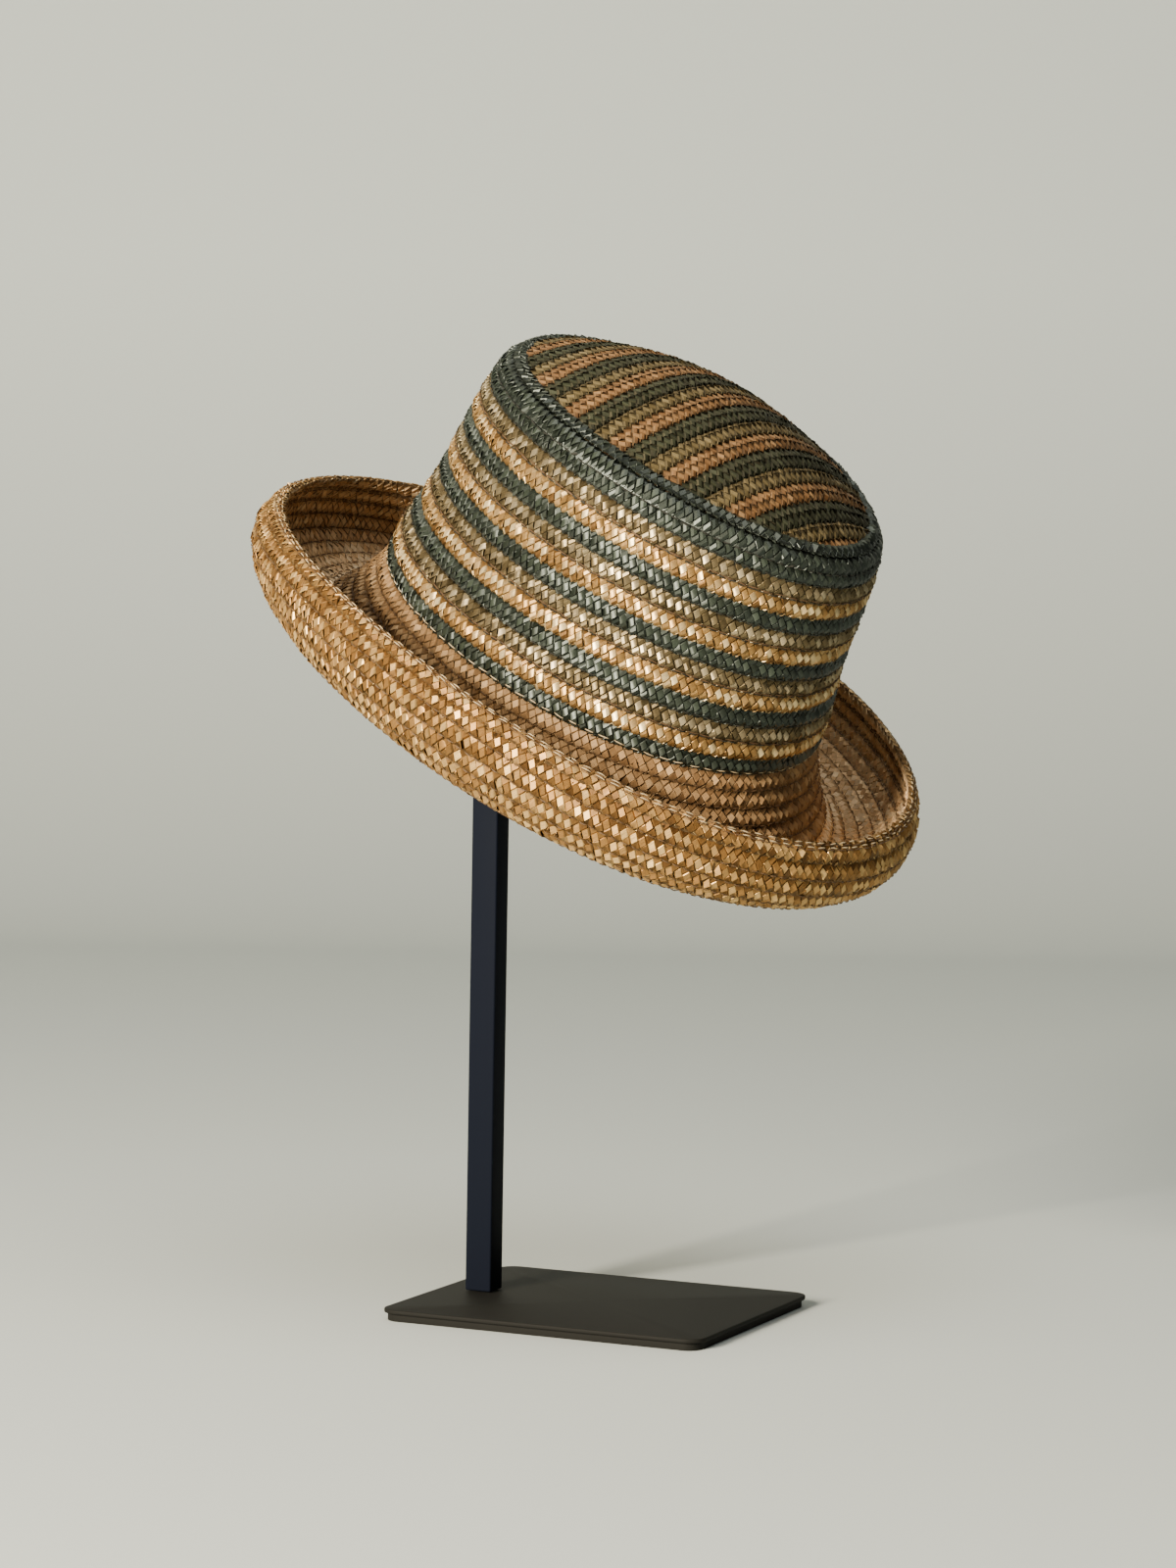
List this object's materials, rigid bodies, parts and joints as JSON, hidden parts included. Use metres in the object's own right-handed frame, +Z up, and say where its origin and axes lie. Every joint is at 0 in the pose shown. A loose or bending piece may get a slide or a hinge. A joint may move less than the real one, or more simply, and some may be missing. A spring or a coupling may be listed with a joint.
{
  "type": "straw hat on a display stand",
  "caption": "Striped braided straw hat with a high oval crown, a domed tip and a rolled-up brim, held tilted on a plain square-post metal stand with a flat base.",
  "frame": {"origin": "middle of the stand base's flat underside", "axes": "+Z up; X along the longer edge of the base, with the post near its -X edge; Y along the shorter edge, with the hat's near side towards -Y"},
  "size_m": [0.2913, 0.2689, 0.4095],
  "materials": {
    "green_straw": "dyed plaited straw, satin",
    "olive_straw": "dyed plaited straw, satin",
    "tan_straw": "dyed plaited straw, satin",
    "natural_straw": "natural plaited straw, satin",
    "post_steel": "black powder coat, matte",
    "plate_steel": "charcoal powder coat, matte"
  },
  "bodies": {
    "root": {"brim_slope": "natural_straw", "brim_trough": "natural_straw", "brim_upturn": "natural_straw", "rim_ridge": "green_straw", "rim_row": "green_straw", "side_row_01_olive": "olive_straw", "side_row_02_tan": "tan_straw", "side_row_03_green": "green_straw", "side_row_04_olive": "olive_straw", "side_row_05_tan": "tan_straw", "side_row_06_green": "green_straw", "side_row_07_olive": "olive_straw", "side_row_08_tan": "tan_straw", "side_row_09_green": "green_straw", "side_row_10_olive": "olive_straw", "side_row_11_tan": "tan_straw", "side_row_12_green": "green_straw", "stand_base": "plate_steel", "stand_post": "post_steel", "tip_strip_01_olive": "olive_straw", "tip_strip_02_tan": "tan_straw", "tip_strip_03_green": "green_straw", "tip_strip_04_olive": "olive_straw", "tip_strip_05_tan": "tan_straw", "tip_strip_06_green": "green_straw", "tip_strip_07_olive": "olive_straw", "tip_strip_08_tan": "tan_straw", "tip_strip_09_green": "green_straw", "tip_strip_10_olive": "olive_straw", "tip_strip_11_tan": "tan_straw", "tip_strip_12_green": "green_straw", "tip_strip_13_olive": "olive_straw", "tip_strip_14_tan": "tan_straw", "tip_strip_15_green": "green_straw", "tip_strip_16_olive": "olive_straw", "tip_strip_17_tan": "tan_straw", "tip_strip_18_green": "green_straw", "tip_strip_19_olive": "olive_straw", "tip_strip_20_tan": "tan_straw"}
  },
  "joints": []
}
